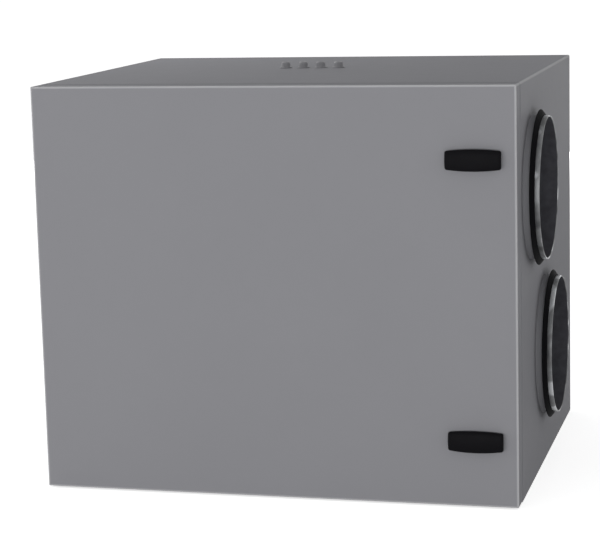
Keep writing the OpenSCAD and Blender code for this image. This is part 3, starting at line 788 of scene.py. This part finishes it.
class DressDoorInside(bpy.types.Operator):
    """Makes the door's bulb gasket in one loop and rivets the liner"""

    bl_idname = "air_unit.door_inside"
    bl_label = "Door gasket and liner"

    def execute(self, context):
        scene = context.scene
        rubber = moulded("gasket_rubber", scene.air_trim.gasket, roughness=0.75, grain=900.0, depth=0.0002)
        low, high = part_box("door_gasket")
        width, height, corner, steps = 0.014, high.y - low.y, 0.016, 6
        reach = width / 2 + corner
        half = [(-0.5, 0.0), (-0.5, 0.28), (-0.40, 0.34), (-0.36, 0.60), (-0.25, 0.86), (-0.09, 1.0)]
        section = half + [(-u, v) for u, v in reversed(half)]
        points = [(corner + u * width, low.y + v * height) for u, v in section]
        x0, x1, z0, z1 = low.x + reach, high.x - reach, low.z + reach, high.z - reach
        loops = []
        for cx, cz, start in ((x1, z1, 0), (x0, z1, 90), (x0, z0, 180), (x1, z0, 270)):
            for k in range(steps + 1):
                a = math.radians(start + 90 * k / steps)
                loops.append([(cx + r * math.cos(a), y, cz + r * math.sin(a)) for r, y in points])
        bm = bmesh.new()
        loft(bm, loops, ring=True)
        gasket = piece("door_bulb_gasket", bm, "door", [rubber])
        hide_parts("door_gasket")
        dress(galvanised("liner_zinc", scene.air_metal), "door_liner")
        bm = bmesh.new()
        rivet_border(bm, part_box("door_liner"), inset=0.014, sizes=scene.air_detail)
        piece("liner_rivets", bm, "door", [plated_steel("liner_rivet_zinc", scene.air_metal)])
        return {"FINISHED"}


class DressHeatWheel(bpy.types.Operator):
    """Makes the heat wheel's rim, hub, spokes and brush seal and finishes its cassette"""

    bl_idname = "air_unit.heat_wheel"
    bl_label = "Heat wheel and cassette"

    def execute(self, context):
        scene = context.scene
        trim, metal, sizes = scene.air_trim, scene.air_metal, scene.air_detail
        low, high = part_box("heat_wheel")
        centre = (low + high) / 2
        r, half = (high.z - low.z) / 2, (high.x - low.x) / 2
        faces = [turned((side, 0, 0), (centre.x + side * half, centre.y, centre.z)) for side in (-1, 1)]
        steel = plated_steel("wheel_steel", metal)
        dress(wheel_foil("wheel_foil", metal, centre, pitch=0.0042), "heat_wheel")
        dress(galvanised("cassette_zinc", metal), "wheel_cassette", "left_partition", "right_partition")
        dress(steel, "wheel_axle")
        self.spokes(faces, r, sizes.spokes, steel)
        black = scaled(trim.rubber, 1.4)
        bristles = moulded("brush_black", black, roughness=0.85, grain=1600.0, depth=0.0005)
        self.brush(faces, r, bristles)
        self.screws(centre.z, sizes, steel)
        foam = moulded("edge_foam", trim.gasket, roughness=0.9, grain=800.0, depth=0.0004)
        self.strips(foam)
        return {"FINISHED"}

    def spokes(self, faces, r, count, steel):
        """Rim, hub and flat spokes on both faces of the wheel."""
        rim = [(-0.010, -0.002), (-0.010, 0.0012), (-0.0094, 0.0018), (-0.0006, 0.0018), (0.0002, 0.0010),
               (0.0002, -0.002)]
        hub = [(0.0126, -0.002), (0.0126, 0.0022), (0.030, 0.0022), (0.046, 0.0018), (0.048, 0.0010),
               (0.048, -0.002)]
        bar = [(-0.004, -0.001), (-0.004, 0.0010), (-0.003, 0.0016), (0.003, 0.0016), (0.004, 0.0010),
               (0.004, -0.001)]
        spoke_from, spoke_to = 0.044, r - 0.007
        hub_steps = 64
        bm = bmesh.new()
        for place in faces:
            lathe(bm, moved(rim, r), place, RIM_STEPS)
            lathe(bm, hub, place, hub_steps)
            for k in range(count):
                turn = place @ Matrix.Rotation(2 * math.pi * k / count, 4, "Z")
                loft(bm, [[turn @ Vector((x, y, z)) for y, z in bar] for x in (spoke_from, spoke_to)])
        piece("wheel_spokes", bm, "casing", [steel])

    def brush(self, faces, r, bristles):
        """Ring of bristles around each face of the wheel."""
        tuft = [(0.0008, -0.004), (0.0008, 0.0), (0.0036, 0.0014), (0.0040, 0.0014), (0.0040, -0.004)]
        bm = bmesh.new()
        for place in faces:
            lathe(bm, moved(tuft, r), place, RIM_STEPS)
        piece("wheel_brush_seal", bm, "casing", [bristles])

    def screws(self, axle_z, sizes, steel):
        """Screws on the cassette's front."""
        low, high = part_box("wheel_cassette")
        side_in, end_in, second_up, under_axle = 0.012, 0.02, 0.17, 0.02
        bm = bmesh.new()
        for x in (low.x + side_in, high.x - side_in):
            for z in (low.z + end_in, low.z + second_up, high.z - end_in, axle_z - under_axle):
                screw(bm, turned((0, -1, 0), (x, low.y, z)), sizes.screw_r, sizes.screw_h)
        piece("cassette_screws", bm, "casing", [steel])

    def strips(self, foam):
        """Foam strips on the partitions' front edges."""
        inset, end_gap, thick, round_r = 0.001, 0.0002, 0.0048, 0.0018
        bm = bmesh.new()
        for name in ("left_partition", "right_partition"):
            low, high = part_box(name)
            strip_low = (low.x + inset, low.y - thick, low.z + end_gap)
            bevelled_block(bm, strip_low, (high.x - inset, low.y, high.z - end_gap), round_r)
        piece("partition_edge_strips", bm, "casing", [foam])


class DressFilters(bpy.types.Operator):
    """Finishes the filters and their rails and adds pull tabs"""

    bl_idname = "air_unit.filters"
    bl_label = "Filters and rails"

    def execute(self, context):
        scene = context.scene
        trim = scene.air_trim
        dress(galvanised("rail_zinc", scene.air_metal), "filter_rails")
        dress(filter_cloth("filter_cloth", trim), "extract_filter_cloth", "supply_filter_cloth")
        dress(pressed_card("filter_card", trim), "extract_filter_frame", "supply_filter_frame")
        webbing = moulded("pull_tab_webbing", trim.gasket, roughness=0.8, grain=1200.0, depth=0.0003)
        tab_h, half_w, hem = 0.040, 0.0125, 0.0015
        outer = [(0.0, 0.0), (-0.003, 0.004), (-0.0062, 0.012), (-0.0066, 0.020)]
        inner = [(0.0, 0.0015), (-0.0022, 0.0055), (-0.0050, 0.013), (-0.0054, 0.020)]
        loop = outer + [(y, tab_h - z) for y, z in reversed(outer[:-1])]
        loop += [(y, tab_h - z) for y, z in inner[:-1]] + inner[::-1]
        cuts = (-half_w, hem - half_w, half_w - hem, half_w)
        for name in ("extract", "supply"):
            low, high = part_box(f"{name}_filter_frame")
            cx, foot = (low.x + high.x) / 2, (low.z + high.z) / 2 - tab_h / 2
            bm = bmesh.new()
            loft(bm, [[(cx + x, low.y + y, foot + z) for y, z in loop] for x in cuts])
            piece(f"{name}_filter_tab", bm, "casing", [webbing])
        return {"FINISHED"}


class DressFans(bpy.types.Operator):
    """Finishes the fans and adds motor ribs and nuts"""

    bl_idname = "air_unit.fans"
    bl_label = "Fans"

    def execute(self, context):
        metal = context.scene.air_metal
        zinc = galvanised("fan_plate_zinc", metal)
        steel = plated_steel("fan_nut_zinc", metal)
        black = moulded("fan_black", metal.motor, roughness=0.45, grain=900.0, depth=0.00015)
        for name, side in (("extract", 1), ("supply", -1)):
            dress(zinc, f"{name}_fan_support")
            dress(black, f"{name}_fan_impeller")
            low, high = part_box(f"{name}_fan_motor")
            self.motor(name, side, low, high, black)
            self.nuts(name, side, (low + high) / 2, steel)
        return {"FINISHED"}

    def motor(self, name, side, low, high, black):
        """Motor housing with cooling ribs."""
        centre = (low + high) / 2
        r, long = (high.z - low.z) / 2, high.x - low.x
        place = turned((side, 0, 0), (low.x if side > 0 else high.x, centre.y, centre.z))
        ribs, first, ends, steps = 6, 0.006, 0.014, 96
        notch = [(0.0, 0.0), (-0.0042, 0.0008), (-0.0042, 0.0032), (0.0, 0.0040)]
        rear = [(0.0, -0.004), (-0.0012, -0.0012), (-0.004, 0.0)]
        profile = [(0.0, 0.0)] + moved([(-0.002, 0.0), (0.0, 0.002)], r)
        for k in range(ribs):
            profile += moved(notch, r, first + (long - ends) * k / ribs)
        profile += moved(rear, r, long) + [(0.0, long)]
        bm = bmesh.new()
        lathe(bm, profile, place, steps)
        motor = piece(f"{name}_motor_ribbed", bm, "casing", [black])
        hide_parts(f"{name}_fan_motor")

    def nuts(self, name, side, centre, steel):
        """Nuts and screws on the rear of the fan's plate."""
        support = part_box(f"{name}_fan_support")
        rear = support[1].x if side > 0 else support[0].x
        nut_off, screw_y, screw_z = 0.095, 0.015, 0.03
        signs = ((-1, -1), (-1, 1), (1, -1), (1, 1))
        bm = bmesh.new()
        for y, z in signs:
            place = turned((side, 0, 0), (rear, centre.y + y * nut_off, centre.z + z * nut_off))
            hex_nut(bm, place, across=0.010, height=0.0045, stud_r=0.003, stud_h=0.0016)
        for y, z in signs:
            place = turned((side, 0, 0), (rear, centre.y + y * screw_y, centre.z + z * screw_z))
            screw(bm, place, radius=0.004, height=0.0018)
        piece(f"{name}_fan_nuts", bm, "casing", [steel])


class DressControlBox(bpy.types.Operator):
    """Makes the control box with a rounded lid, lid screws and blank glands"""

    bl_idname = "air_unit.control_box"
    bl_label = "Control box"

    def execute(self, context):
        scene = context.scene
        low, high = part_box("control_box")
        trim, steel = scene.air_trim, plated_steel("lid_screw_zinc", scene.air_metal)
        plastic = moulded("box_plastic", trim.housing, roughness=0.48, grain=1300.0, depth=0.00008,
                          mottle=0.03)
        dark = moulded("box_gland_plastic", trim.gland, roughness=0.55, grain=1200.0, depth=0.00008)
        self.case(low, high, (plastic, dark))
        corner_in = 0.011
        bm = bmesh.new()
        for x in (low.x + corner_in, high.x - corner_in):
            for z in (low.z + corner_in, high.z - corner_in):
                screw(bm, turned((0, -1, 0), (x, low.y, z)), radius=0.0036, height=0.0012)
        piece("control_box_screws", bm, "casing", [steel])
        return {"FINISHED"}

    def case(self, low, high, materials):
        """Box, lid with a raised field, and a row of blank glands under the box."""
        over, lid, joint = 0.002, 0.012, 0.0006
        field_x, field_z, field_up, field_in = 0.022, 0.035, 0.0008, 0.003
        glands, gland_in, gland_steps = 4, 0.035, 40
        gland = [(0.0, 0.0), (0.0085, 0.0), (0.0085, 0.003), (0.0075, 0.0036), (0.0065, 0.008),
                 (0.0045, 0.0094), (0.0, 0.0094)]
        bm = bmesh.new()
        box_low = (low.x + over, low.y + lid, low.z + over)
        bevelled_block(bm, box_low, (high.x - over, high.y, high.z - over), round_r=0.0025)
        bevelled_block(bm, low, (high.x, low.y + lid - joint, high.z), round_r=0.004, segments=4)
        field_low = (low.x + field_x, low.y - field_up, low.z + field_z)
        field_high = (high.x - field_x, low.y + field_in, high.z - field_z)
        bevelled_block(bm, field_low, field_high, round_r=0.0006)
        for k in range(glands):
            x = low.x + gland_in + (high.x - low.x - 2 * gland_in) * k / (glands - 1)
            place = turned((0, 0, -1), (x, (low.y + lid + high.y) / 2, low.z + over))
            lathe(bm, gland, place, gland_steps, material=1)
        box = piece("control_box_case", bm, "casing", materials)
        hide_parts("control_box")


# Stage

class BuildStage(bpy.types.Operator):
    """Sets the pale floor, the studio light and the camera"""

    bl_idname = "air_unit.stage"
    bl_label = "Studio"

    def execute(self, context):
        scene = context.scene
        look = scene.air_stage
        scene.view_settings.view_transform = "Standard"
        self.world(scene, look)
        self.floor(scene, look)
        unit, right_side, rear_top = (0, 0, 0.36), (0.42, -0.2, 0.36), (-0.25, 0.15, 0.72)
        self.lamp("front_softbox", look.key, place=(-0.2, -5.0, 0.47), aim=unit, size=(5.4, 0.9))
        self.lamp("side_strip", look.side, place=(3.0, -1.1, 0.7), aim=right_side, size=(0.5, 2.2))
        self.lamp("left_softbox", look.fill, place=(-4.4, -0.4, 1.2), aim=unit, size=(4.4, 2.0))
        self.lamp("back_softbox", look.fill, place=(-0.9, 4.8, 0.34), aim=unit, size=(4.4, 0.64))
        self.lamp("top_softbox", look.crown, place=(-0.9, 0.7, 1.6), aim=rear_top, size=(0.5, 0.5))
        self.camera(scene, look)
        return {"FINISHED"}

    def world(self, scene, look):
        """White surroundings that light dull surfaces at the ambient strength."""
        white = Finish("studio_white", "Background", Color=(1, 1, 1))
        white.set(Strength=white.spread(white.studio_rays(), low=look.ambient, start=0.0, end=1.0))
        scene.world = white.block

    def floor(self, scene, look):
        """Wide pale floor that keeps the unit's shadow."""
        bm = bmesh.new()
        bmesh.ops.create_grid(bm, x_segments=1, y_segments=1, size=40.0)
        mesh = bpy.data.meshes.new("studio_floor")
        bm.to_mesh(mesh)
        bm.free()
        pale = Finish("pale_floor", Base_Color=(0.86, 0.86, 0.86), Roughness=0.9, Specular_IOR_Level=0.0,
                      Emission_Color=(1, 1, 1))
        pale.set(Emission_Strength=pale.calc("MULTIPLY", pale.studio_rays(), look.glow))
        mesh.materials.append(pale.block)
        obj = bpy.data.objects.new("studio_floor", mesh)
        scene.collection.objects.link(obj)

    def lamp(self, name, watts, place, aim, size):
        """Rectangular lamp that the camera doesn't see."""
        data = bpy.data.lights.new(name, "AREA")
        data.shape = "RECTANGLE"
        data.size, data.size_y = size
        data.energy = watts
        obj = bpy.data.objects.new(name, data)
        obj.location = place
        obj.rotation_euler = (Vector(aim) - Vector(place)).to_track_quat("-Z", "Y").to_euler()
        obj.visible_camera = False
        bpy.context.scene.collection.objects.link(obj)

    def camera(self, scene, look):
        """Camera of the photograph, turned from a level view along Y."""
        data = bpy.data.cameras.new("photo_camera")
        data.sensor_width = 36.0
        data.sensor_fit = "HORIZONTAL"
        data.lens = look.lens
        data.clip_end = 200.0
        obj = bpy.data.objects.new("photo_camera", data)
        heading, tilt, roll = look.turn
        level = Matrix.Rotation(math.radians(90), 4, "X")
        obj.matrix_world = (Matrix.Translation(Vector(look.place)) @ Matrix.Rotation(heading, 4, "Z")
                            @ Matrix.Rotation(tilt, 4, "X") @ Matrix.Rotation(roll, 4, "Y") @ level)
        scene.collection.objects.link(obj)
        scene.camera = obj


class AirUnitPanel(bpy.types.Panel):
    """Lists the steps and their settings"""

    bl_idname = "VIEW3D_PT_air_unit"
    bl_label = "Air handling unit"
    bl_space_type = "VIEW_3D"
    bl_region_type = "UI"
    bl_category = "Air unit"

    def draw(self, context):
        for step in STEPS:
            self.layout.operator(step.bl_idname)
        for group in SETTINGS:
            box = self.layout.box()
            look = getattr(context.scene, group)
            for key in look.__annotations__:
                box.prop(look, key)


STEPS = (DressCasing, DressCollars, DressLatches, DressHinges, DressGlands, DressDoorInside,
         DressHeatWheel, DressFilters, DressFans, DressControlBox, BuildStage)
SETTINGS = {"air_paint": PaintLook, "air_trim": TrimLook, "air_metal": MetalLook, "air_detail": DetailSizes,
            "air_stage": StageLook}
CLASSES = (*SETTINGS.values(), *STEPS, AirUnitPanel)


def register():
    for kind in CLASSES:
        bpy.utils.register_class(kind)
    for name, group in SETTINGS.items():
        setattr(bpy.types.Scene, name, PointerProperty(type=group))


def unregister():
    for name in SETTINGS:
        delattr(bpy.types.Scene, name)
    for kind in reversed(CLASSES):
        bpy.utils.unregister_class(kind)


def main():
    register()
    for step in STEPS:
        group, name = step.bl_idname.split(".")
        getattr(getattr(bpy.ops, group), name)()


if __name__ == "__main__":
    main()
